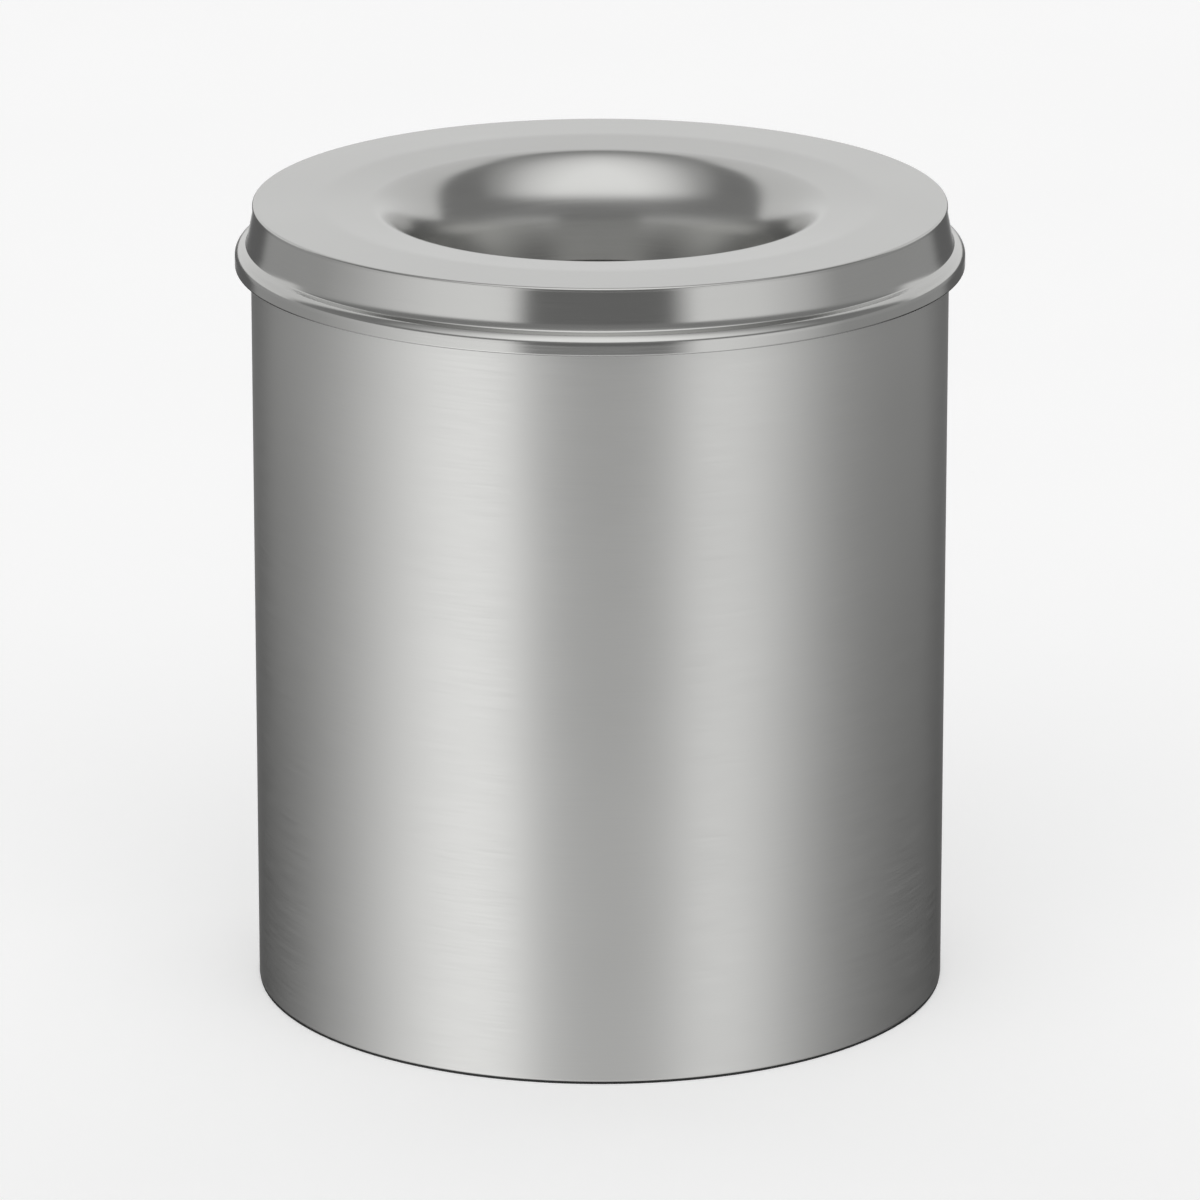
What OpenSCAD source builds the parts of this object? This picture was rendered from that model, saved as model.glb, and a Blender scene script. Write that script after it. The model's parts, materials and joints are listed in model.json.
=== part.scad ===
// Fire-safe round waste bin: a rolled steel body with a lift-off head.
// The head is a ring with a funnel-shaped mouth. Smoke gathers in the hollow
// round the funnel, rolls back down and starves a fire of air.
// Millimetres, +Z up, origin on the floor at the middle of the body.
// The front faces -Y and the body's side weld is at the back, +Y.

/* [Body] */
// Outside diameter of the rolled body
body_d = 465; // [400:1:600]
// Height from the floor to the top of the head
overall_h = 540; // [400:1:800]
// Thickness of all the steel sheet
sheet = 0.8; // [0.6:0.1:1.2]
// Diameter of the wire inside the body's rolled rim
rim_wire_d = 6; // [5:0.5:8]
// Width of the weld bead left inside the body's side seam
weld_w = 2.4; // [1.5:0.1:4]
// How far that weld bead stands out of the wall
weld_proud = 0.3; // [0.2:0.05:0.5]

/* [Base] */
// Height of the base plate above the floor
base_lift = 14; // [12:0.5:30]
// Depth of the ring-shaped recess pressed into the base plate
base_recess = 3; // [1:0.5:6]
// Width of the rim of the base plate outside that recess
base_rim_w = 28; // [15:1:60]
// Radius of the raised middle of the base plate
base_boss_r = 90; // [40:1:120]
// Height of the sheet folded back up inside the bottom seam
seam_h = 6; // [4:0.5:10]
// How far the floor ring holds the steel off the floor
ring_stand = 1.2; // [0.8:0.1:4]
// Width of the floor ring's sole
ring_sole_w = 6; // [5:0.5:12]
// Thickness of the floor ring's upright leg
ring_leg_t = 2; // [1.5:0.1:3]

/* [Head] */
// Inside diameter of the funnel's throat
mouth_d = 234; // [150:1:300]
// Width of the shallow dish between the flat ring and the funnel's roll
dish_w = 35; // [20:1:60]
// Slope of that dish, in degrees
dish_angle = 4.5; // [2:0.5:10]
// Width of the dish that belongs to the funnel, inside the ground-flush weld
seam_run = 3; // [1:0.5:8]
// Width of the quarter ellipse that the roll at the top of the funnel follows
roll_run = 35; // [20:1:50]
// Height of that quarter ellipse
roll_drop = 70; // [40:1:90]
// Slope of the funnel's wall below the roll, in degrees from upright
funnel_angle = 12; // [4:1:25]
// Height of that sloping wall
funnel_h = 25; // [10:1:50]
// Length of the upright throat below the sloping wall
throat_len = 8; // [4:1:30]
// Diameter of the wire inside the throat's curled edge
throat_wire_d = 4; // [3:0.5:6]
// Height of the head panel's turned-down lip
lip_h = 2.6; // [2:0.1:5]
// Width of the skirt's flange under the head panel
flange_w = 16; // [10:1:30]
// Flare of the skirt's upper band, in degrees from upright
flare_angle = 11; // [4:1:20]
// Depth of the crease below the top of the head, where flare and shoulder meet
crease_drop = 28; // [20:0.5:50]
// Slope of the skirt's shoulder, in degrees from level
shoulder_angle = 20; // [10:1:50]
// Height from the bottom of the skirt's lower band to the crease
band_h = 14; // [12:0.5:25]
// Height of the hem folded up inside the lower band
hem_h = 4; // [3:0.5:8]

/* [Clips] */
// Width of a clip
clip_w = 18; // [10:1:25]
// How far a clip reaches down inside the body, below the crease
clip_reach = 34; // [25:1:50]

/* [Fits] */
// Gap between sheets and wires that are folded or pressed together
fit_gap = 0.05; // [0.02:0.01:0.1]
// Gap between the head's sloping shoulder and the body's rim, which it rests on
seat_gap = 0.3; // [0.2:0.05:0.5]
// Play between the head's hem and the body's rim, where a bag's edge folds over
head_play = 2.1; // [1.5:0.1:4]
// Gap between a clip and the inside of the body
clip_gap = 0.4; // [0.3:0.05:0.8]

/* [Hidden] */
$fn = 96;

steel = "silver";
plastic = "dimgray";
half = sheet / 2;

// Body: middle of the sheet, from the bottom fold to the rolled rim
wall_r = body_d / 2 - half;
fold_r = sheet + fit_gap;
fold_z = ring_stand + fit_gap + fold_r + half;
curl_r = rim_wire_d / 2 + fit_gap + half;
curl_end = -120;
crease_z = overall_h - crease_drop;
seat_r = curl_r + half + seat_gap + half;
rim_r = wall_r + curl_r;
rim_z = crease_z - seat_r / cos(shoulder_angle);
rim_out_r = rim_r + curl_r + half;

// Base plate
base_flange_r = wall_r - fold_r;
base_corner_r = 3;
base_step_w = 10;

// Skirt of the head, outwards and down from its flange. The foot of its flare sweeps
// out and meets the shoulder in a tight crease above the rim's wire. The shoulder's
// slope rests on the rim, then rounds into the lower band.
corner_r = 1.2;
foot_r = 30;
foot_angle = flare_angle + 10;
crease_r = 1.6;
shoulder_r = 6.1;
hem_r = half + fit_gap;
hem_in_r = rim_out_r + head_play;
band_r = hem_in_r + half + 2 * hem_r;
hem_z = crease_z - band_h + half + hem_r;
flange_z = overall_h - half - sheet - fit_gap;
flare_out = [cos(flare_angle), sin(flare_angle)];
foot_out = [cos(foot_angle), sin(foot_angle)];
shoulder_out = [sin(shoulder_angle), cos(shoulder_angle)];
crease_middle = [rim_r, crease_z]
                + crease_r * (foot_out + shoulder_out) / (1 + foot_out * shoulder_out);
foot_middle = crease_middle + (foot_r - crease_r) * foot_out;
shoulder_middle_r = band_r - shoulder_r;
shoulder_middle_z = rim_z + (seat_r - shoulder_r - (shoulder_middle_r - rim_r) * sin(shoulder_angle))
                            / cos(shoulder_angle);
cone_bottom = foot_middle - foot_r * flare_out;
cone_top_z = flange_z - corner_r * (1 - sin(flare_angle));
cone_top_r = cone_bottom.x - (cone_top_z - cone_bottom.y) * tan(flare_angle);
flange_corner_r = cone_top_r - corner_r * cos(flare_angle);

// Head panel and funnel, inwards from the lip, which clears the flare where it ends
panel_z = overall_h - half;
flare_r_in_lip = cone_bottom.x - (overall_h - lip_h - cone_bottom.y) * tan(flare_angle);
lip_r = flare_r_in_lip + half / cos(flare_angle) + fit_gap + half;
throat_r = mouth_d / 2 + half;
dish_bend_r = 120;
throat_bend_r = 12;
roll_end = atan(roll_run / (roll_drop * tan(funnel_angle)));
roll_foot_r = throat_r + throat_bend_r * (1 - cos(funnel_angle)) + funnel_h * tan(funnel_angle)
              - roll_run * (1 - sin(roll_end));
dish_r = roll_foot_r + roll_run + dish_w;
dish_start = [dish_r - dish_bend_r * sin(dish_angle),
              panel_z - dish_bend_r * (1 - cos(dish_angle))];
roll_start = atan(tan(dish_angle) * roll_run / roll_drop);
roll_start_r = roll_foot_r + roll_run * (1 - sin(roll_start));
roll_top_z = dish_start.y - (dish_start.x - roll_start_r) * tan(dish_angle)
             + roll_drop * (1 - cos(roll_start));
seam = [roll_start_r + seam_run, dish_start.y - (dish_start.x - roll_start_r - seam_run) * tan(dish_angle)];
throat_top_z = roll_top_z - roll_drop * (1 - cos(roll_end)) - funnel_h - throat_bend_r * sin(funnel_angle);
throat_end_z = throat_top_z - throat_len;
throat_curl_r = throat_wire_d / 2 + fit_gap + half;

// Clips
clip_leg_z = flange_z - sheet - fit_gap;
clip_bend_r = 3;
clip_corner_r = body_d / 2 - sheet - clip_gap;
clip_touch_r = sqrt(pow(clip_corner_r, 2) - pow(clip_w / 2, 2)) - half;
clip_back_r = clip_touch_r - 5;
clip_tip_r = clip_touch_r - 6;
clip_touch_z = crease_z - clip_reach * 0.55;
clip_step = 120;

// --- Outlines ---

// Points on an arc about c, from angle a to angle b
function arc(c, r, a, b, steps) =
    [for (i = [0:steps]) let (t = a + (b - a) * i / steps) c + r * [cos(t), sin(t)]];

// A smooth S from p to q, level at both ends
function ease(p, q, steps) =
    [for (i = [0:steps]) let (t = i / steps)
        [p.x + (q.x - p.x) * t, p.y + (q.y - p.y) * (1 - cos(180 * t)) / 2]];

// A smooth S from p to q, upright at both ends
function sway(p, q, steps) =
    [for (i = [0:steps]) let (t = i / steps)
        [p.x + (q.x - p.x) * (1 - cos(180 * t)) / 2, p.y + (q.y - p.y) * t]];

function left_of(v) = [-v.y, v.x] / norm(v);

// The mitred normal at point i of line p
function mitre(p, i) =
    let (last = len(p) - 1,
         before = left_of(p[max(i, 1)] - p[max(i, 1) - 1]),
         after = left_of(p[min(i, last - 1) + 1] - p[min(i, last - 1)]),
         both = before + after)
    both * 2 / (both * both);

function beside(p, d) = [for (i = [0:len(p) - 1]) p[i] + d * mitre(p, i)];
function reversed(p) = [for (i = [len(p) - 1:-1:0]) p[i]];

// The line p without a point that repeats the one before it, as where one arc runs into another
function distinct(p) = [for (i = [0:len(p) - 1]) if (i == 0 || norm(p[i] - p[max(i - 1, 0)]) > 0.005) p[i]];

// The outline of a sheet of thickness t along the line p
function sheet_along(p, t) =
    let (line = distinct(p))
    concat(beside(line, t / 2), reversed(beside(line, -t / 2)));

module spun(line) {
    rotate_extrude() polygon(sheet_along(line, sheet));
}

module wire_ring(r, z, d) {
    rotate_extrude() translate([r, z]) circle(d = d);
}

// --- Body ---

function body_line() = concat(
    [[wall_r - 2 * fold_r, fold_z + seam_h]],
    arc([wall_r - fold_r, fold_z], fold_r, 180, 360, 8),
    arc([rim_r, rim_z], curl_r, 180, curl_end, 30));

// The rolled tube: folded round the base at the bottom, curled out at the rim
module body_shell() {
    inside_r = wall_r - half;
    weld_from = base_lift + base_corner_r;
    color(steel) {
        spun(body_line());
        // Weld bead of the side seam, proud on the inside only
        translate([-weld_w / 2, inside_r - weld_proud, weld_from])
            cube([weld_w, weld_proud + half, rim_z - weld_from]);
    }
}

module rim_wire() {
    color(steel) wire_ring(rim_r, rim_z, rim_wire_d);
}

function base_line() =
    let (recess_out = base_flange_r - base_rim_w,
         recess_z = base_lift - base_recess)
    concat(
        [[base_flange_r, fold_z + fit_gap]],
        arc([base_flange_r - base_corner_r, base_lift - base_corner_r], base_corner_r, 0, 90, 8),
        ease([recess_out, base_lift], [recess_out - base_step_w, recess_z], 10),
        ease([base_boss_r + base_step_w, recess_z], [base_boss_r, base_lift], 10),
        [[0, base_lift]]);

// The pressed bottom: its flange sits in the body's fold
module base_plate() {
    color(steel) spun(base_line());
}

// The plastic ring under the bottom seam, hooked over the folded edge
module floor_ring() {
    leg_out = wall_r - 2 * fold_r - half - 2 * fit_gap;
    sole_out = wall_r;
    hook_z = fold_z + seam_h + 2 * fit_gap;
    hook_out = base_flange_r - half - 4 * fit_gap;
    hook_h = 1.4;
    color(plastic) rotate_extrude() polygon([
        [sole_out - ring_sole_w, 0],
        [sole_out, 0],
        [sole_out, ring_stand],
        [leg_out, ring_stand],
        [leg_out, hook_z],
        [hook_out, hook_z],
        [leg_out, hook_z + hook_h],
        [leg_out - ring_leg_t, hook_z + hook_h],
        [leg_out - ring_leg_t, ring_stand],
        [sole_out - ring_sole_w, ring_stand]]);
}

// --- Head ---

function roll_line(steps) =
    [for (i = [0:steps]) let (t = roll_start + (roll_end - roll_start) * i / steps)
        [roll_foot_r + roll_run * (1 - sin(t)), roll_top_z - roll_drop * (1 - cos(t))]];

function panel_line() = concat(
    [[lip_r, overall_h - lip_h]],
    arc([lip_r - corner_r, panel_z - corner_r], corner_r, 0, 90, 6),
    arc([dish_r, panel_z - dish_bend_r], dish_bend_r, 90, 90 + dish_angle, 4),
    [seam]);

// The pressed top: a turned-down lip, a flat ring and a shallow dish
module head_panel() {
    color(steel) spun(panel_line());
}

function funnel_line() = concat(
    [seam],
    roll_line(24),
    arc([throat_r + throat_bend_r, throat_top_z], throat_bend_r, 180 - funnel_angle, 180, 4),
    arc([throat_r + throat_curl_r, throat_end_z], throat_curl_r, 180, 480, 24));

// The spun funnel: butt-welded into the dish, rolled over into a sloping wall and an
// upright throat, and curled out over a wire below
module head_funnel() {
    color(steel) spun(funnel_line());
}

module throat_wire() {
    color(steel) wire_ring(throat_r + throat_curl_r, throat_end_z, throat_wire_d);
}

function skirt_line() = concat(
    [[flange_corner_r - flange_w, flange_z]],
    arc([flange_corner_r, flange_z - corner_r], corner_r, 90, flare_angle, 6),
    arc(foot_middle, foot_r, 180 + flare_angle, 180 + foot_angle, 6),
    arc(crease_middle, crease_r, 180 + foot_angle, 270 - shoulder_angle, 6),
    arc([shoulder_middle_r, shoulder_middle_z], shoulder_r, 90 - shoulder_angle, 0, 10),
    arc([band_r - hem_r, hem_z], hem_r, 0, -180, 6),
    [[band_r - 2 * hem_r, hem_z + hem_h]]);

// The flared band, the sloping shoulder that rests on the body's rim, and the band over it
module head_skirt() {
    color(steel) spun(skirt_line());
}

// A spring tongue from under the flange down inside the body's mouth
function clip_line() = concat(
    [[flange_corner_r - flange_w, clip_leg_z]],
    arc([clip_back_r - clip_bend_r, clip_leg_z - clip_bend_r], clip_bend_r, 90, 0, 6),
    sway([clip_back_r, crease_z + 4], [clip_touch_r, clip_touch_z], 10),
    sway([clip_touch_r, clip_touch_z - 2], [clip_tip_r, crease_z - clip_reach], 8));

module head_clip(angle) {
    color(steel) rotate(angle) rotate([90, 0, 0])
        translate([0, 0, -clip_w / 2]) linear_extrude(clip_w)
            polygon(sheet_along(clip_line(), sheet));
}

body_shell();
rim_wire();
base_plate();
floor_ring();
head_panel();
head_funnel();
throat_wire();
head_skirt();
head_clip(-90);  // head_clip_front
head_clip(-90 + clip_step);  // head_clip_right
head_clip(-90 - clip_step);  // head_clip_left
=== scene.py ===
# %% [markdown]
# # A flame-smothering waste bin in stainless steel
#
# The real bin is a rolled steel body with a loose head on top. The head is a pressed ring with a
# funnel-shaped mouth. A fire inside fills the hollow round the funnel with smoke, the smoke rolls
# back down, and the fire goes out for want of air.
#
# Nearly every part is thin sheet that was spun, rolled or folded round one axis. So this lesson
# draws each part's section once, as a line with a thickness, and lets one Geometry Nodes tree spin
# it. What then makes it look like steel is the finish and what the finish mirrors.

# %% Load the frame
import json
import math

import bmesh
import bpy
from mathutils import Matrix, Vector


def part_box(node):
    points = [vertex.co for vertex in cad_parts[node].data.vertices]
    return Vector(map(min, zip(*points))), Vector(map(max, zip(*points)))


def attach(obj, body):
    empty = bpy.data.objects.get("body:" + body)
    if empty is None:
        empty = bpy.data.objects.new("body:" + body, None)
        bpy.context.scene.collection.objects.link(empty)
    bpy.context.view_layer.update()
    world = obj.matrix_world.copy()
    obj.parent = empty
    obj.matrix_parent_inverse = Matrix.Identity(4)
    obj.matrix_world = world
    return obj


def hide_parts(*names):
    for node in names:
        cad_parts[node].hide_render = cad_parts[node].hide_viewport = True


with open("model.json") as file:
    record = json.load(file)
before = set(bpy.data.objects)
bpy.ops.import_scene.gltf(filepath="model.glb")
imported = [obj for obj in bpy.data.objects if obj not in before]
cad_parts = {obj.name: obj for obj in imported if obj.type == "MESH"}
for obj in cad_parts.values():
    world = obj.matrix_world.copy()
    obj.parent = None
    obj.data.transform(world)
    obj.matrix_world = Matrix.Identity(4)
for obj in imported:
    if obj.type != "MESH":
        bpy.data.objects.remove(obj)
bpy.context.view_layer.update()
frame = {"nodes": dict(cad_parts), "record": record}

scene = bpy.context.scene

# %% [markdown]
# ## The camera
#
# The bin stands a few metres from a long lens, a little above its rim, so the mouth shows as a
# shallow ellipse and the sides stay almost parallel. The camera looks at a point on the axis just
# under half of the height. It has no lens shift.

# %% Place the camera
EYE_DISTANCE = 5.6
EYE_ELEVATION = math.radians(16.9)
AIM_HEIGHT = 0.262
SENSOR_MM = 36
LENS_MM = 249


def add_camera():
    camera = bpy.data.objects.new("camera", bpy.data.cameras.new("camera"))
    camera.data.sensor_width = SENSOR_MM
    camera.data.lens = LENS_MM
    aim = Vector((0, 0, AIM_HEIGHT))
    back = Vector((0, -math.cos(EYE_ELEVATION), math.sin(EYE_ELEVATION)))
    camera.location = aim + back * EYE_DISTANCE
    camera.rotation_euler = (-back).to_track_quat("-Z", "Y").to_euler()
    scene.collection.objects.link(camera)
    scene.camera = camera
    print("camera at", [round(v, 3) for v in camera.location])


add_camera()

# %% [markdown]
# ## Three small helpers
#
# Geometry trees, materials and the studio are all made of nodes. One function adds a node: it sets
# the node's own settings, then fills its sockets with values or joins them to other sockets. A node
# can keep hidden sockets of the same name for other data types, so it looks for the one in use. The
# other two turn a hex code into a colour and mix two such colours.

# %% Add a node, name a colour, mix two
def add(tree, kind, sockets=None, **settings):
    """Adds a node. sockets maps a name or number to a value or to another node's output."""
    node = tree.nodes.new(kind)
    for name, value in settings.items():
        setattr(node, name, value)
    for key, value in (sockets or {}).items():
        named = [s for s in node.inputs if s.name == key and s.enabled]
        socket = named[0] if named else node.inputs[key]
        if isinstance(value, bpy.types.NodeSocket):
            tree.links.new(value, socket)
        else:
            socket.default_value = value
    return node


def colour(hex_code):
    """An sRGB colour such as "#8a8d8f" as the linear RGBA that a shader takes."""
    parts = [int(hex_code[i:i + 2], 16) / 255 for i in (1, 3, 5)]
    linear = [p / 12.92 if p <= 0.04045 else ((p + 0.055) / 1.055) ** 2.4 for p in parts]
    return (*linear, 1)


def mixed(tree, factor, dark, light):
    """The colour between two hex codes that the factor picks."""
    mix = add(tree, "ShaderNodeMix", {"Factor": factor, "A": colour(dark), "B": colour(light)},
              data_type="RGBA")
    return next(s for s in mix.outputs if s.enabled)


print("satin steel is", [round(v, 2) for v in colour("#d2d2d0")])

# %% [markdown]
# ## Steel finishes
#
# Stainless steel is a metal, so it has no colour of its own under its shine: everything one sees is
# mirrored, more or less blurred. The blur comes from the abrasive belt that brushed it. It leaves
# fine scratches that all run one way, round the part on spun and rolled work.
#
# One function makes every steel here. Fine grain is noise that is stretched along the scratch and
# squeezed across it. It nudges the colour, the roughness and the surface. A second, broad noise adds
# the faint cloudiness of a surface that has been handled and wiped. It only touches the colour.
#
# Real scratches are a few hundredths of a millimetre wide, which no render at this size can show,
# so they are drawn about half a millimetre wide.

# %% The grain's own coordinates
MM = 0.001
GRAIN_LENGTH = 45 * MM
GRAIN_DETAIL = {"Scale": 1, "Detail": 3, "Roughness": 0.65}
GRAIN_LOW, GRAIN_HIGH = 0.3, 0.7
CLOUD_SIZE = 110 * MM
CLOUD_DETAIL = 2
TONE_LOW, TONE_HIGH = 0.6, 1.4


def grain_vector(tree, width, rise):
    """Object coordinates in which one unit is a grain's length round the axis and its width across.

    rise says how the distance across is counted: height plus rise times the radius. With 1 or -1
    it keeps growing over walls and flat rings alike, so the scratches stay circles on both."""
    place = add(tree, "ShaderNodeTexCoord").outputs["Object"]
    parts = add(tree, "ShaderNodeSeparateXYZ", {0: place})
    flat = add(tree, "ShaderNodeCombineXYZ", {0: parts.outputs[0], 1: parts.outputs[1]})
    radius = add(tree, "ShaderNodeVectorMath", {0: flat.outputs[0]}, operation="LENGTH")
    across = add(tree, "ShaderNodeMath", {0: radius.outputs["Value"], 1: rise, 2: parts.outputs[2]},
                 operation="MULTIPLY_ADD")
    joined = add(tree, "ShaderNodeCombineXYZ",
                 {0: parts.outputs[0], 1: parts.outputs[1], 2: across.outputs[0]})
    sizes = (1 / GRAIN_LENGTH, 1 / GRAIN_LENGTH, 1 / width)
    return add(tree, "ShaderNodeMapping", {"Vector": joined.outputs[0], "Scale": sizes}).outputs[0]


# %% Steel of any finish
def steel(name, dark, light, roughness, spread, width, depth, rise=1):
    """dark and light are the tones between the scratches; spread is how far roughness varies;
    width and depth are the scratch's size in metres."""
    material = bpy.data.materials.new(name)
    material.use_nodes = True
    tree = material.node_tree
    shader = tree.nodes["Principled BSDF"]
    place = add(tree, "ShaderNodeTexCoord").outputs["Object"]
    grain = add(tree, "ShaderNodeTexNoise",
                {"Vector": grain_vector(tree, width, rise), **GRAIN_DETAIL})
    cloud = add(tree, "ShaderNodeTexNoise",
                {"Vector": place, "Scale": 1 / CLOUD_SIZE, "Detail": CLOUD_DETAIL})
    both = add(tree, "ShaderNodeMath", {0: grain.outputs[0], 1: cloud.outputs[0]}, operation="ADD")
    tone = add(tree, "ShaderNodeMapRange",
               {"Value": both.outputs[0], "From Min": TONE_LOW, "From Max": TONE_HIGH})
    rough = add(tree, "ShaderNodeMapRange",
                {"Value": grain.outputs[0], "From Min": GRAIN_LOW, "From Max": GRAIN_HIGH,
                 "To Min": roughness - spread, "To Max": roughness + spread})
    bump = add(tree, "ShaderNodeBump",
               {"Strength": 1, "Distance": depth, "Height": grain.outputs[0]})
    tree.links.new(mixed(tree, tone.outputs[0], dark, light), shader.inputs["Base Color"])
    tree.links.new(rough.outputs[0], shader.inputs["Roughness"])
    tree.links.new(bump.outputs[0], shader.inputs["Normal"])
    shader.inputs["Metallic"].default_value = 1
    print(f"{name}: roughness {roughness} +- {spread}")
    return material


# %% [markdown]
# The body is brushed stainless sheet. A medium belt leaves a satin that blurs what it mirrors into
# broad soft stripes down the wall.
#
# The head was spun on a lathe and brushed with a finer belt, so its mirror images keep their edges.
# The base is left as it came from the mill: duller, greyer and even in all directions, so its grain
# is nearly as wide as it is long. Wires are drawn, and the clips are cold-rolled spring strip. Each
# line below gives the dark and light tone, the roughness and its spread, then the scratch's width
# and depth, and how the distance across it is counted.

# %% The finishes of this bin
body_satin = steel("brushed_stainless_satin", "#d2d2d0", "#d8d8d6", 0.36, 0.05, 0.6 * MM, 0.002 * MM, 0)
head_satin = steel("spun_stainless_fine_brushed", "#b9b9b7", "#bfbfbd", 0.2, 0.03, 0.5 * MM, 0.001 * MM)
skirt_satin = steel("pressed_stainless_fine_brushed", "#bbbbb9", "#c3c3c1", 0.15, 0.03, 0.5 * MM,
                    0.001 * MM, -1)
base_mill = steel("mill_finish_stainless", "#a9aaab", "#b6b7b8", 0.42, 0.04, 40 * MM, 0.004 * MM)
wire_drawn = steel("drawn_stainless_wire", "#9a9b9c", "#a9aaab", 0.3, 0.03, 0.4 * MM, 0.002 * MM)
clip_spring = steel("cold_rolled_spring_steel", "#a4a6a8", "#b4b5b6", 0.24, 0.03, 0.5 * MM, 0.002 * MM)


# %% [markdown]
# The ring under the bin is injection-moulded black polypropylene. It is never quite black: the
# mould's fine spark-eroded texture catches light as a soft grey bloom, and a floor scuffs it.

# %% Moulded plastic
SCUFF_SIZE = 12 * MM
SCUFF_DETAIL = 4
PLASTIC_SMOOTH, PLASTIC_ROUGH = 0.45, 0.65
POLYPROPYLENE_IOR = 1.49


def moulded_plastic(name, dark, light, texture_size, depth):
    material = bpy.data.materials.new(name)
    material.use_nodes = True
    tree = material.node_tree
    shader = tree.nodes["Principled BSDF"]
    place = add(tree, "ShaderNodeTexCoord").outputs["Object"]
    texture = add(tree, "ShaderNodeTexVoronoi", {"Vector": place, "Scale": 1 / texture_size})
    scuffs = add(tree, "ShaderNodeTexNoise",
                 {"Vector": place, "Scale": 1 / SCUFF_SIZE, "Detail": SCUFF_DETAIL})
    rough = add(tree, "ShaderNodeMapRange",
                {"Value": scuffs.outputs[0], "To Min": PLASTIC_SMOOTH, "To Max": PLASTIC_ROUGH})
    bump = add(tree, "ShaderNodeBump", {"Strength": 1, "Distance": depth, "Height": texture.outputs[0]})
    tree.links.new(mixed(tree, scuffs.outputs[0], dark, light), shader.inputs["Base Color"])
    tree.links.new(rough.outputs[0], shader.inputs["Roughness"])
    tree.links.new(bump.outputs[0], shader.inputs["Normal"])
    shader.inputs["IOR"].default_value = POLYPROPYLENE_IOR
    print(f"{name}: roughness {PLASTIC_SMOOTH} to {PLASTIC_ROUGH}")
    return material


ring_plastic = moulded_plastic("moulded_black_polypropylene", "#141414", "#262626", 0.6 * MM, 0.02 * MM)

# %% [markdown]
# ## Drawing a sheet in section
#
# A spun part's section is a line: straight stretches and bends of a known radius. Its two faces lie
# half a thickness to either side, along the line's own normals. An arc gives each bend. Long
# straight stretches get an extra point close to both ends, which holds the smooth shading flat
# right up to the bend. Where one arc runs into the next, the point that both have is kept once,
# because a stretch of no length has no direction and so no normal.


# %% Arcs, holding points and the two faces
HOLD_MARGIN = 0.5
LONG_STRETCH = 3.0
SAME_POINT = 0.005


def arc(centre, radius, start, end, steps):
    """Points on an arc about centre from the angle start to end, in degrees."""
    angles = [math.radians(start + (end - start) * i / steps) for i in range(steps + 1)]
    return [centre + radius * Vector((math.cos(a), math.sin(a))) for a in angles]


def held(line):
    """The line with a point added near each end of every long stretch, and no point twice."""
    kept = [line[0]]
    for after in line[1:]:
        step = after - kept[-1]
        if step.length < SAME_POINT:
            continue
        if step.length > LONG_STRETCH:
            margin = step.normalized() * HOLD_MARGIN
            kept += [kept[-1] + margin, after - margin]
        kept.append(after)
    return kept


def mitred_normals(line):
    """At each point, the way to the line's left, long enough to keep the sheet's thickness."""
    steps = [(b - a).normalized() for a, b in zip(line, line[1:])]
    lefts = [Vector((-s.y, s.x)) for s in steps]
    sums = [lefts[0] * 2] + [a + b for a, b in zip(lefts, lefts[1:])] + [lefts[-1] * 2]
    return [s * 2 / s.dot(s) for s in sums]


def sheet_along(line, thickness):
    """The outline of a sheet whose middle follows the line."""
    line = held(line)
    normals = mitred_normals(line)
    left = [p + n * thickness / 2 for p, n in zip(line, normals)]
    right = [p - n * thickness / 2 for p, n in zip(line, normals)]
    return left + right[::-1]


# %% [markdown]
# ## The lathe
#
# The tree below is a lathe. It is given an outline as loose points in the XZ plane. It makes a flat
# grid with one column for each turn step and one row for each outline point, then moves each grid
# point to where its outline point lands when it is turned about Z. The last column meets the first,
# and the last row the first, and merging closes both seams and any pole on the axis. Edges sharper
# than a set angle stay sharp, and all the rest is smooth.

# %% A lathe in Geometry Nodes
TURN = 2 * math.pi
SEAM_DISTANCE = 0.004 * MM


def new_tree(name, sockets):
    """An empty geometry tree with these named inputs; returns it and its input node."""
    tree = bpy.data.node_groups.new(name, "GeometryNodeTree")
    tree.interface.new_socket("Geometry", in_out="INPUT", socket_type="NodeSocketGeometry")
    tree.interface.new_socket("Geometry", in_out="OUTPUT", socket_type="NodeSocketGeometry")
    for label, kind in sockets.items():
        tree.interface.new_socket(label, in_out="INPUT", socket_type="NodeSocket" + kind)
    return tree, tree.nodes.new("NodeGroupInput")


def finish_tree(tree, given, geometry):
    """Realizes, sets the material and joins the output, as every tree here ends."""
    real = add(tree, "GeometryNodeRealizeInstances", {"Geometry": geometry})
    done = add(tree, "GeometryNodeSetMaterial",
               {"Geometry": real.outputs[0], "Material": given.outputs["Material"]})
    add(tree, "NodeGroupOutput", {0: done.outputs[0]})
    return tree


def math_node(tree, operation, a, b=0.0):
    """The result of one Math node."""
    return add(tree, "ShaderNodeMath", {0: a, 1: b}, operation=operation).outputs[0]


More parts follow.
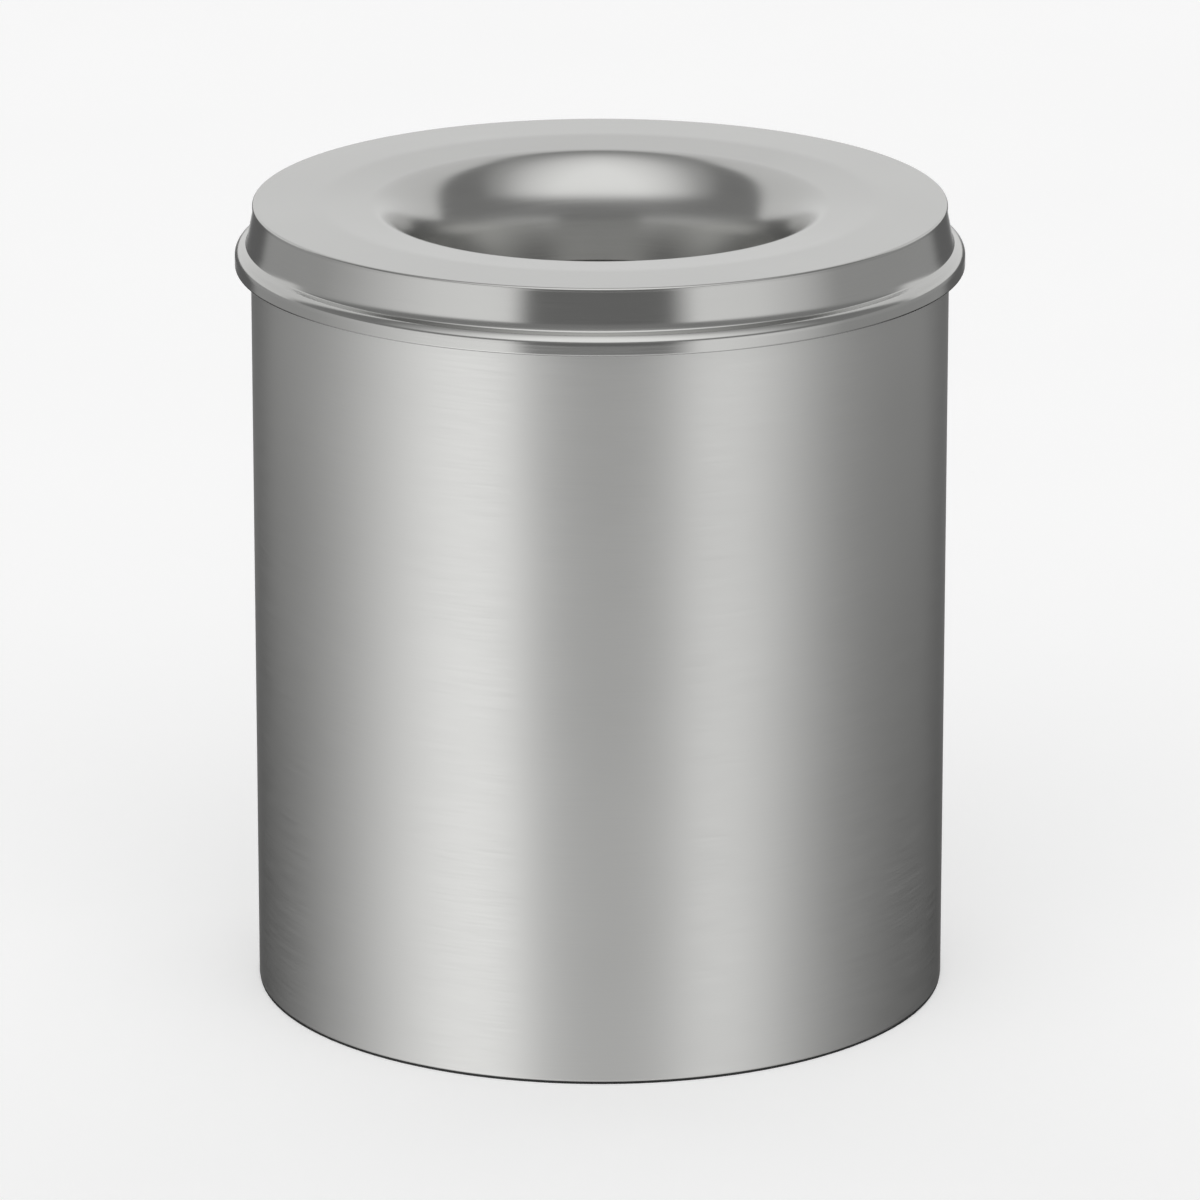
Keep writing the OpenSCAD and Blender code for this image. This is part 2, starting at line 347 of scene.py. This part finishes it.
def lathe_tree():
    """The lathe: it spins loose outline points about Z into a closed skin."""
    tree, given = new_tree("Lathe", {"Steps": "Int", "Sharp angle": "Float", "Material": "Material"})
    outline = given.outputs["Geometry"]
    count = add(tree, "GeometryNodeAttributeDomainSize", {0: outline}).outputs["Point Count"]
    rows = math_node(tree, "ADD", count, 1)
    columns = math_node(tree, "ADD", given.outputs["Steps"], 1)
    grid = add(tree, "GeometryNodeMeshGrid", {"Vertices X": columns, "Vertices Y": rows})
    index = add(tree, "GeometryNodeInputIndex").outputs[0]
    column = math_node(tree, "FLOOR", math_node(tree, "DIVIDE", math_node(tree, "ADD", index, 0.5), rows))
    row = math_node(tree, "SUBTRACT", index, math_node(tree, "MULTIPLY", column, rows))
    wrapped = math_node(tree, "MODULO", row, count)
    point = add(tree, "GeometryNodeSampleIndex",
                {"Geometry": outline, "Value": add(tree, "GeometryNodeInputPosition").outputs[0],
                 "Index": math_node(tree, "ROUND", wrapped)}, data_type="FLOAT_VECTOR")
    share = math_node(tree, "DIVIDE", column, given.outputs["Steps"])
    turned = add(tree, "ShaderNodeVectorRotate",
                 {"Vector": point.outputs[0], "Angle": math_node(tree, "MULTIPLY", share, TURN)},
                 rotation_type="Z_AXIS")
    placed = add(tree, "GeometryNodeSetPosition",
                 {"Geometry": grid.outputs["Mesh"], "Position": turned.outputs[0]})
    merged = add(tree, "GeometryNodeMergeByDistance",
                 {"Geometry": placed.outputs[0], "Distance": SEAM_DISTANCE})
    smooth = add(tree, "GeometryNodeSetShadeSmooth", {"Geometry": merged.outputs[0]}, domain="FACE")
    angle = add(tree, "GeometryNodeInputMeshEdgeAngle").outputs["Unsigned Angle"]
    sharp = add(tree, "GeometryNodeSetShadeSmooth",
                {"Geometry": smooth.outputs[0], "Shade Smooth": False,
                 "Selection": math_node(tree, "GREATER_THAN", angle, given.outputs["Sharp angle"])},
                domain="EDGE")
    return finish_tree(tree, given, sharp.outputs[0])


LATHE = lathe_tree()
print("the lathe has", len(LATHE.nodes), "nodes")


# %% [markdown]
# A tree's result is only there while its modifier is. To keep it, the script asks for the evaluated
# object, copies that as a plain mesh and takes the modifier off. The faces are then turned outwards.

# %% Run a tree and keep its mesh
def grow(name, points, tree, values):
    """Runs the tree on these points and keeps what it makes as a plain mesh."""
    seed = bpy.data.meshes.new(name + "_seed")
    seed.from_pydata(points, [], [])
    piece = bpy.data.objects.new(name, seed)
    scene.collection.objects.link(piece)
    modifier = piece.modifiers.new("grow", "NODES")
    modifier.node_group = tree
    for item in tree.interface.items_tree:
        if item.in_out == "INPUT" and item.name in values:
            modifier[item.identifier] = values[item.name]
    evaluated = piece.evaluated_get(bpy.context.evaluated_depsgraph_get())
    mesh = bpy.data.meshes.new_from_object(evaluated)
    piece.modifiers.remove(modifier)
    piece.data = mesh
    face_outwards(mesh)
    print(f"{name}: {len(mesh.polygons)} faces")
    return piece


def face_outwards(mesh):
    """Turns every face of a closed mesh outwards."""
    work = bmesh.new()
    work.from_mesh(mesh)
    bmesh.ops.recalc_face_normals(work, faces=work.faces)
    work.to_mesh(mesh)
    work.free()


SPIN_STEPS = 288
SHARP_ANGLE = math.radians(40)


def spin(name, outline, material):
    """Spins an outline of (radius, height) points in millimetres about the axis."""
    points = [(p[0] * MM, 0, p[1] * MM) for p in outline]
    return grow(name, points, LATHE,
                {"Steps": SPIN_STEPS, "Sharp angle": SHARP_ANGLE, "Material": material})


# %% [markdown]
# ## The body
#
# The body is a sheet rolled into a tube and welded at the back. Its foot is folded inwards and up
# again round the edge of the base plate, and its rim is curled outwards over a wire. The frame
# gives the rim's outer radius, its top and the foot. The rest follows from the sheet, the wire and
# the small gaps between folded sheets.

# %% The body's section
SHEET = 0.8
HALF = SHEET / 2
GAP = 0.05
RIM_WIRE = 6
SEAM_HEIGHT = 6
FOLD_STEPS = 12
CURL_END = -120
CURL_STEPS = 40


def box_mm(node):
    """A node's lowest and highest corner, in millimetres."""
    return [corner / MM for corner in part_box(node)]


body_low, body_high = box_mm("body_shell")
curl_r = RIM_WIRE / 2 + GAP + HALF
rim_r = body_high.x - curl_r - HALF
rim_z = body_high.z - curl_r - HALF
wall_r = rim_r - curl_r
fold_r = SHEET + GAP
fold_z = body_low.z + HALF + fold_r
body_line = ([Vector((wall_r - 2 * fold_r, fold_z + SEAM_HEIGHT))]
             + arc(Vector((wall_r - fold_r, fold_z)), fold_r, 180, 360, FOLD_STEPS)
             + arc(Vector((rim_r, rim_z)), curl_r, 180, CURL_END, CURL_STEPS))
body = spin("body", sheet_along(body_line, SHEET), body_satin)
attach(body, "bin")
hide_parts("body_shell")
print("wall radius", round(wall_r, 2), "mm")

# %% [markdown]
# The tube's side weld is at the back. Outside it is ground flush, and only a strip remains where the
# belt ran lengthwise and left the steel a little duller. Inside the bead still stands proud. Each
# time the welder's pool froze it left a ripple, so the bead is a long flat rod whose thickness
# swells and sinks along its length, with each ripple bowed in the middle. Ripples of under a
# millimetre would not show, so they are drawn 2 mm apart. The bead is about as bright as the clips'
# cold-rolled strip, so it takes that finish.

# %% A weld bead in Geometry Nodes
WELD_WIDTH = 2.4
WELD_PROUD = 0.3
RIPPLE = 2
RIPPLE_BOW = 1.2
RIPPLE_SWELL = 0.18
RIPPLE_STEPS = 8
BEAD_SIDES = 16
BEAD_ABOVE_BASE = 2


def weld_tree():
    """A flat rod along Z, a ripple every so often, each bowed in the middle."""
    tree, given = new_tree("Weld bead", {"Length": "Float", "Width": "Float", "Thickness": "Float",
                                         "Ripple": "Float", "Bow": "Float", "Swell": "Float",
                                         "Segments": "Int", "Material": "Material"})
    rod = add(tree, "GeometryNodeMeshCylinder",
              {"Vertices": BEAD_SIDES, "Side Segments": given.outputs["Segments"], "Radius": 1,
               "Depth": given.outputs["Length"]})
    place = add(tree, "GeometryNodeInputPosition").outputs[0]
    x, y, z = add(tree, "ShaderNodeSeparateXYZ", {0: place}).outputs
    bowed = math_node(tree, "ADD", z, math_node(tree, "MULTIPLY", math_node(tree, "MULTIPLY", x, x),
                                                given.outputs["Bow"]))
    turns = math_node(tree, "MULTIPLY", math_node(tree, "DIVIDE", bowed, given.outputs["Ripple"]), TURN)
    wave = math_node(tree, "MULTIPLY", math_node(tree, "SINE", turns), given.outputs["Swell"])
    thick = math_node(tree, "MULTIPLY", given.outputs["Thickness"], math_node(tree, "SUBTRACT", wave, -1))
    flat = add(tree, "ShaderNodeCombineXYZ",
               {0: math_node(tree, "MULTIPLY", x, math_node(tree, "DIVIDE", given.outputs["Width"], 2)),
                1: math_node(tree, "MULTIPLY", y, thick), 2: z})
    shaped = add(tree, "GeometryNodeSetPosition", {"Geometry": rod.outputs["Mesh"],
                                                   "Position": flat.outputs[0]})
    smooth = add(tree, "GeometryNodeSetShadeSmooth", {"Geometry": shaped.outputs[0]})
    return finish_tree(tree, given, smooth.outputs[0])


# %% The ground strip over the weld
STRIP_HALF = 7 * MM
STRIP_FULL = 0.7
STRIP_SCRATCH = 0.5 * MM
STRIP_DETAIL = 2
STRIP_DULLER = 0.16


def ground_strip(material):
    """Makes a strip at the back of a steel duller, with scratches that run up and down."""
    tree = material.node_tree
    shader = tree.nodes["Principled BSDF"]
    place = add(tree, "ShaderNodeTexCoord").outputs["Object"]
    parts = add(tree, "ShaderNodeSeparateXYZ", {0: place})
    near = add(tree, "ShaderNodeMapRange",
               {0: math_node(tree, "ABSOLUTE", parts.outputs[0]),
                1: STRIP_HALF * STRIP_FULL, 2: STRIP_HALF, 3: 1, 4: 0},
               interpolation_type="SMOOTHSTEP").outputs[0]
    strip = math_node(tree, "MULTIPLY", near, math_node(tree, "GREATER_THAN", parts.outputs[1]))
    sizes = (1 / STRIP_SCRATCH, 1 / STRIP_SCRATCH, 1 / GRAIN_LENGTH)
    along = add(tree, "ShaderNodeMapping", {"Vector": place, "Scale": sizes}).outputs[0]
    scratch = add(tree, "ShaderNodeTexNoise",
                  {"Vector": along, "Scale": 1, "Detail": STRIP_DETAIL}).outputs[0]
    duller = math_node(tree, "MULTIPLY", math_node(tree, "MULTIPLY", strip, scratch), STRIP_DULLER)
    even = shader.inputs["Roughness"].links[0].from_socket
    tree.links.new(math_node(tree, "ADD", even, duller), shader.inputs["Roughness"])
    print(f"{material.name}: a ground strip {2 * STRIP_HALF / MM:.0f} mm wide")


ground_strip(body_satin)

# %% Lay the bead inside the wall
weld_foot = box_mm("base_plate")[1].z + BEAD_ABOVE_BASE
weld_top = rim_z
weld = grow("side_weld_bead", [], weld_tree(),
            {"Length": (weld_top - weld_foot) * MM, "Width": WELD_WIDTH * MM,
             "Thickness": WELD_PROUD / (1 + RIPPLE_SWELL) * MM, "Ripple": RIPPLE * MM,
             "Bow": RIPPLE_BOW * MM, "Swell": RIPPLE_SWELL,
             "Segments": round((weld_top - weld_foot) / RIPPLE * RIPPLE_STEPS),
             "Material": clip_spring})
weld.data.transform(Matrix.Translation(Vector((0, wall_r - HALF, (weld_foot + weld_top) / 2)) * MM))
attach(weld, "bin")

# %% [markdown]
# ## The base plate
#
# The base is a pressed disc. Its edge turns down into the body's fold, and a ring-shaped recess
# stiffens it. Each side of the recess is a smooth S, level at both ends.

# %% The base's section
BASE_CORNER = 3
BASE_RIM = 28
BASE_STEP = 10
BASE_BOSS = 90
BASE_RECESS = 3
BASE_CORNER_STEPS = 10
EASE_STEPS = 14


def ease(start, end):
    """A smooth S from start to end, level at both ends."""
    shares = [i / EASE_STEPS for i in range(EASE_STEPS + 1)]
    return [Vector((start.x + (end.x - start.x) * s,
                    start.y + (end.y - start.y) * (1 - math.cos(math.pi * s)) / 2)) for s in shares]


base_low, base_high = box_mm("base_plate")
flange_r = base_high.x - HALF
base_z = base_high.z - HALF
recess_z = base_z - BASE_RECESS
recess_r = flange_r - BASE_RIM
base_line = ([Vector((flange_r, base_low.z))]
             + arc(Vector((flange_r - BASE_CORNER, base_z - BASE_CORNER)), BASE_CORNER, 0, 90,
                   BASE_CORNER_STEPS)
             + ease(Vector((recess_r, base_z)), Vector((recess_r - BASE_STEP, recess_z)))
             + ease(Vector((BASE_BOSS + BASE_STEP, recess_z)), Vector((BASE_BOSS, base_z)))
             + [Vector((0, base_z))])
base = spin("base", sheet_along(base_line, SHEET), base_mill)
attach(base, "bin")
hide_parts("base_plate")

# %% [markdown]
# The two wires, the plastic ring and the three spring clips are exact as the frame gives them. They
# keep their meshes and only get a finish.

# %% Finish the nodes that the frame already shapes well
READY = {"rim_wire": wire_drawn, "throat_wire": wire_drawn, "floor_ring": ring_plastic,
         "head_clip_front": clip_spring, "head_clip_right": clip_spring, "head_clip_left": clip_spring}
for node, finish in READY.items():
    slots = frame["nodes"][node].data.materials
    slots.clear()
    slots.append(finish)
print("finished:", ", ".join(READY))

# %% [markdown]
# ## The head
#
# The head is three sheets. The panel is the flat ring that one sees from above, with a lip turned
# down outside and a shallow dish inside. The funnel rolls over from the dish along an ellipse twice
# as deep as it is wide. Where the roll is steep enough it goes on as a straight sloping wall, and it
# ends in an upright throat whose edge is curled out over a wire. Panel and funnel are butt-welded
# and ground flush.

# %% The panel's and the funnel's sections
LIP_HEIGHT = 2.6
LIP_CORNER = 1.2
DISH_WIDTH = 35
DISH_BEND = 120
DISH_ANGLE = math.radians(4.5)
ROLL_RUN = 35
ROLL_DROP = 70
FUNNEL_ANGLE = math.radians(12)
FUNNEL_HEIGHT = 25
THROAT_BEND = 12
THROAT_LENGTH = 8
THROAT_WIRE = 4
SEAM_RUN = 3
BEND_STEPS = 8
ROLL_STEPS = 40
THROAT_BEND_STEPS = 4
THROAT_CURL_STEPS = 32
THROAT_CURL_END = 480

throat = next(m for m in frame["record"]["mounts"] if m["name"] == "throat")
panel_high = box_mm("head_panel")[1]
top_z = panel_high.z
panel_z = top_z - HALF
lip_r = panel_high.x - HALF
throat_r = throat["dims"]["r_mm"] + HALF
roll_end = math.atan(ROLL_RUN / (ROLL_DROP * math.tan(FUNNEL_ANGLE)))
foot_r = (throat_r + THROAT_BEND * (1 - math.cos(FUNNEL_ANGLE)) + FUNNEL_HEIGHT * math.tan(FUNNEL_ANGLE)
          - ROLL_RUN * (1 - math.sin(roll_end)))
dish_r = foot_r + ROLL_RUN + DISH_WIDTH
dish_end = Vector((dish_r - DISH_BEND * math.sin(DISH_ANGLE),
                   panel_z - DISH_BEND * (1 - math.cos(DISH_ANGLE))))
roll_start = math.atan(math.tan(DISH_ANGLE) * ROLL_RUN / ROLL_DROP)


def on_dish(radius):
    """The point of the dish's straight slope at that radius."""
    return Vector((radius, dish_end.y - (dish_end.x - radius) * math.tan(DISH_ANGLE)))


def on_roll(angle):
    """The point of the funnel's roll at that angle. At 90 degrees the full ellipse would be upright."""
    return Vector((foot_r + ROLL_RUN * (1 - math.sin(angle)),
                   roll_top - ROLL_DROP * (1 - math.cos(angle))))


roll_start_r = foot_r + ROLL_RUN * (1 - math.sin(roll_start))
roll_top = on_dish(roll_start_r).y + ROLL_DROP * (1 - math.cos(roll_start))
throat_top = on_roll(roll_end).y - FUNNEL_HEIGHT - THROAT_BEND * math.sin(FUNNEL_ANGLE)
throat_z = throat_top - THROAT_LENGTH
seam = on_dish(roll_start_r + SEAM_RUN)

panel_line = ([Vector((lip_r, top_z - LIP_HEIGHT))]
              + arc(Vector((lip_r - LIP_CORNER, panel_z - LIP_CORNER)), LIP_CORNER, 0, 90,
                    BEND_STEPS)
              + arc(Vector((dish_r, panel_z - DISH_BEND)), DISH_BEND, 90,
                    90 + math.degrees(DISH_ANGLE), BEND_STEPS)
              + [seam])
roll_angles = [roll_start + (roll_end - roll_start) * i / ROLL_STEPS for i in range(ROLL_STEPS + 1)]
throat_curl = THROAT_WIRE / 2 + GAP + HALF
funnel_line = ([seam] + [on_roll(a) for a in roll_angles]
               + arc(Vector((throat_r + THROAT_BEND, throat_top)), THROAT_BEND,
                     180 - math.degrees(FUNNEL_ANGLE), 180, THROAT_BEND_STEPS)
               + arc(Vector((throat_r + throat_curl, throat_z)), throat_curl, 180,
                     THROAT_CURL_END, THROAT_CURL_STEPS))
panel = spin("head_panel_sheet", sheet_along(panel_line, SHEET), head_satin)
funnel = spin("funnel", sheet_along(funnel_line, SHEET), head_satin)
for piece, node in ((panel, "head_panel"), (funnel, "head_funnel")):
    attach(piece, "head")
    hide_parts(node)
print("throat radius", round(throat_r - HALF, 1), "mm, its foot at", round(throat_z, 1), "mm")

# %% [markdown]
# The skirt is the third sheet. A flange goes under the panel's edge and a band flares out below it.
# The band's foot sweeps out a little more and meets a sloping shoulder in a tight crease. The slope
# rests on the body's rim and so centres the head. It rounds into a lower band that hangs over the
# rim and ends in a hem folded up inside.
#
# Two straight stretches meet at a sharp point in the crease. An arc of a given radius that touches
# both has its middle on the line that halves the angle between them.

# %% The skirt's section
FLANGE_WIDTH = 16
FLARE = math.radians(11)
FOOT = FLARE + math.radians(10)
FOOT_R = 30
SHOULDER = math.radians(20)
CREASE_R = 1.6
SHOULDER_R = 6.1
SEAT_GAP = 0.3
HEM_HEIGHT = 4
FOOT_STEPS = 10
SHOULDER_STEPS = 14
HEM_STEPS = 10

skirt_low, skirt_high = box_mm("head_skirt")
band_r = skirt_high.x - HALF
hem_r = HALF + GAP
hem_z = skirt_low.z + HALF + hem_r
flange_z = skirt_high.z - HALF
seat_r = curl_r + HALF + SEAT_GAP + HALF
flare_out = Vector((math.cos(FLARE), math.sin(FLARE)))
foot_out = Vector((math.cos(FOOT), math.sin(FOOT)))
shoulder_out = Vector((math.sin(SHOULDER), math.cos(SHOULDER)))
crease_z = rim_z + seat_r / math.cos(SHOULDER)
crease = (Vector((rim_r, crease_z))
          + CREASE_R * (foot_out + shoulder_out) / (1 + foot_out.dot(shoulder_out)))
foot = crease + (FOOT_R - CREASE_R) * foot_out
shoulder_r = band_r - SHOULDER_R
shoulder_z = (rim_z + (seat_r - SHOULDER_R - (shoulder_r - rim_r) * math.sin(SHOULDER))
              / math.cos(SHOULDER))
cone_foot = foot - FOOT_R * flare_out
cone_top_z = flange_z - LIP_CORNER * (1 - math.sin(FLARE))
corner_r = cone_foot.x - (cone_top_z - cone_foot.y) * math.tan(FLARE) - LIP_CORNER * math.cos(FLARE)
skirt_line = ([Vector((corner_r - FLANGE_WIDTH, flange_z))]
              + arc(Vector((corner_r, flange_z - LIP_CORNER)), LIP_CORNER, 90,
                    math.degrees(FLARE), BEND_STEPS)
              + arc(foot, FOOT_R, 180 + math.degrees(FLARE), 180 + math.degrees(FOOT), FOOT_STEPS)
              + arc(crease, CREASE_R, 180 + math.degrees(FOOT), 270 - math.degrees(SHOULDER),
                    BEND_STEPS)
              + arc(Vector((shoulder_r, shoulder_z)), SHOULDER_R, 90 - math.degrees(SHOULDER), 0,
                    SHOULDER_STEPS)
              + arc(Vector((band_r - hem_r, hem_z)), hem_r, 0, -180, HEM_STEPS)
              + [Vector((band_r - 2 * hem_r, hem_z + HEM_HEIGHT))])
skirt = spin("skirt", sheet_along(skirt_line, SHEET), skirt_satin)
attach(skirt, "head")
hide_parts("head_skirt")
print("crease", round(crease_z, 1), "mm up, band radius", round(band_r + HALF, 1), "mm")

# %% [markdown]
# ## The studio
#
# A steel bin shows the room it stands in, so the room is half of the picture. It is a plain soft
# studio: a bright backdrop, a large soft light overhead that leans towards the camera, a tall soft
# light at either side of the camera, a narrow one behind the bin, and near darkness between them.
#
# The world's shader draws it from the direction alone. Two colour ramps go round the horizon with
# the tall lights at both sides of the camera, and a soft one behind the bin: one ramp for what is
# level with the bin, and one for what is lower, where the sides fall off sooner. A third ramp is the
# soft light overhead, widest in front. Smooth steps on the height lead from one to the next, and the
# last ones add the bright backdrop. The camera itself sees plain pale paper instead.
#
# Both level ramps map an angle round the axis to a brightness. 0 degrees is behind the camera, which
# the front of the bin mirrors, and plus and minus 180 is behind the bin. The overhead ramp runs along
# a slant, which is lowest towards the camera and grows to both sides and to the back.

# %% Paint the soft lights
LEVEL = {-180: 0.75, -174: 0.6, -167: 0.16, -160: 0.12, -143: 0.13, -138: 0.37, -117: 0.4, -100: 0.43,
         -86: 0.55, -68: 0.78, -54: 0.94, -40: 1.0, -29: 1.0, -22: 0.18, 22: 0.18, 31: 0.98, 52: 0.88,
         68: 0.66, 82: 0.39, 136: 0.36, 143: 0.14, 160: 0.12, 167: 0.16, 174: 0.6, 180: 0.75}
BELOW = {-180: 0.65, -174: 0.5, -165: 0.0, -132: 0.0, -118: 0.12, -104: 0.3, -86: 0.52, -68: 0.84,
         -54: 1.14, -40: 1.3, -28: 1.3, -20: 0.8, 20: 0.72, 28: 0.9, 40: 0.94, 52: 0.7, 70: 0.36,
         100: 0.12, 122: 0.0, 165: 0.0, 174: 0.5, 180: 0.65}
OVERHEAD = {-1: 1.18, -0.35: 1.16, 0: 0.95, 0.2: 0.78, 0.42: 0.5, 0.6: 0.36, 0.7: 0.24, 1.4: 0.22}
LIGHT_STRENGTH = 1.15

# Each pair says from where to where one part of the room gives way to the next. The directions have
# length 1, so a height of 0 is level with the bin and 1 is straight overhead.
LEVEL_START = (-0.325, -0.262)
UNDERFOOT, UNDERFOOT_GREY = (-0.8, -0.5), 0.45
LIGHT_TOPS, GAP_GREY = (0.14, 0.23), 0.25
OVERHEAD_EDGE = (0.39, 0.53)
BACKDROP_SHADE, BACKDROP_LOW, BACKDROP_HIGH = (0.2, 0.42), 0.79, 0.75
BACKDROP_FRONT = (0.64, 0.8)
BACKDROP_SIDE = (0.22, 0.46)
BACKDROP_FOOT = (-0.02, 0.07)
PAPER = "#f4f4f4"


def ramp(tree, value, stops):
    """A grey ramp. stops maps values of the input to a brightness."""
    low, high = min(stops), max(stops)
    share = add(tree, "ShaderNodeMapRange", {0: value, 1: low, 2: high}).outputs[0]
    node = add(tree, "ShaderNodeValToRGB", {0: share})
    elements = node.color_ramp.elements
    elements.remove(elements[1])
    for number, (at, grey) in enumerate(stops.items()):
        place = (at - low) / (high - low)
        stop = elements[0] if number == 0 else elements.new(place)
        stop.position = place
        stop.color = (grey, grey, grey, 1)
    return node.outputs[0]


def fade(tree, value, span, before, after):
    """Goes smoothly from before to after while the value rises through the span."""
    return add(tree, "ShaderNodeMapRange", {0: value, 1: span[0], 2: span[1], 3: before, 4: after},
               interpolation_type="SMOOTHSTEP").outputs[0]


def paint_studio():
    """The world's shader: brightness from the direction alone, plain paper for the camera."""
    world = bpy.data.worlds.new("soft_studio")
    world.use_nodes = True
    scene.world = world
    tree = world.node_tree
    tree.nodes.clear()
    way = add(tree, "ShaderNodeTexCoord").outputs["Generated"]
    x, y, z = add(tree, "ShaderNodeSeparateXYZ", {0: way}).outputs
    around = math_node(tree, "DEGREES", math_node(tree, "ARCTAN2", x, math_node(tree, "MULTIPLY", y, -1)))
    slant = math_node(tree, "ADD", math_node(tree, "ABSOLUTE", x), y)
    low = fade(tree, z, LEVEL_START, ramp(tree, around, BELOW), ramp(tree, around, LEVEL))
    low = fade(tree, z, UNDERFOOT, UNDERFOOT_GREY, low)
    low = fade(tree, z, LIGHT_TOPS, low, GAP_GREY)
    above = fade(tree, z, OVERHEAD_EDGE, low, ramp(tree, slant, OVERHEAD))
    backdrop = fade(tree, z, BACKDROP_SHADE, BACKDROP_LOW, BACKDROP_HIGH)
    backdrop = fade(tree, slant, BACKDROP_FRONT, 0.0, backdrop)
    backdrop = fade(tree, y, BACKDROP_SIDE, 0.0, backdrop)
    backdrop = fade(tree, z, BACKDROP_FOOT, 0.0, backdrop)
    room = math_node(tree, "MAXIMUM", above, backdrop)
    seen = add(tree, "ShaderNodeLightPath").outputs["Is Camera Ray"]
    light = add(tree, "ShaderNodeBackground", {"Color": room, "Strength": LIGHT_STRENGTH})
    paper = add(tree, "ShaderNodeBackground", {"Color": colour(PAPER), "Strength": 1})
    both = add(tree, "ShaderNodeMixShader", {0: seen, 1: light.outputs[0], 2: paper.outputs[0]})
    add(tree, "ShaderNodeOutputWorld", {"Surface": both.outputs[0]})


paint_studio()
print("studio painted with", len(scene.world.node_tree.nodes), "nodes")

# %% [markdown]
# The floor is a wide pale sheet. It takes the bin's soft shadow, and it doesn't show in the steel,
# so that the walls mirror the lights and not the paper.

# %% The floor
FLOOR_SIZE = 40
FIBRE_SCALE = 3
FIBRE_DETAIL = 3
PAPER_ROUGHNESS = 0.9
PAPER_GLOW = 0.25


def pale_floor():
    """A wide sheet of paper, a little self-lit so that it stays as pale as the backdrop."""
    material = bpy.data.materials.new("pale_paper")
    material.use_nodes = True
    tree = material.node_tree
    shader = tree.nodes["Principled BSDF"]
    place = add(tree, "ShaderNodeTexCoord").outputs["Object"]
    fibre = add(tree, "ShaderNodeTexNoise",
                {"Vector": place, "Scale": FIBRE_SCALE, "Detail": FIBRE_DETAIL})
    tree.links.new(mixed(tree, fibre.outputs[0], "#f3f3f3", "#f6f6f6"), shader.inputs["Base Color"])
    shader.inputs["Roughness"].default_value = PAPER_ROUGHNESS
    shader.inputs["Emission Color"].default_value = colour("#ffffff")
    shader.inputs["Emission Strength"].default_value = PAPER_GLOW
    mesh = bpy.data.meshes.new("floor")
    half = FLOOR_SIZE / 2
    mesh.from_pydata([(-half, -half, 0), (half, -half, 0), (half, half, 0), (-half, half, 0)], [],
                     [(0, 1, 2, 3)])
    mesh.materials.append(material)
    floor = bpy.data.objects.new("floor", mesh)
    scene.collection.objects.link(floor)
    floor.visible_glossy = False


pale_floor()
scene.view_settings.view_transform = "Standard"
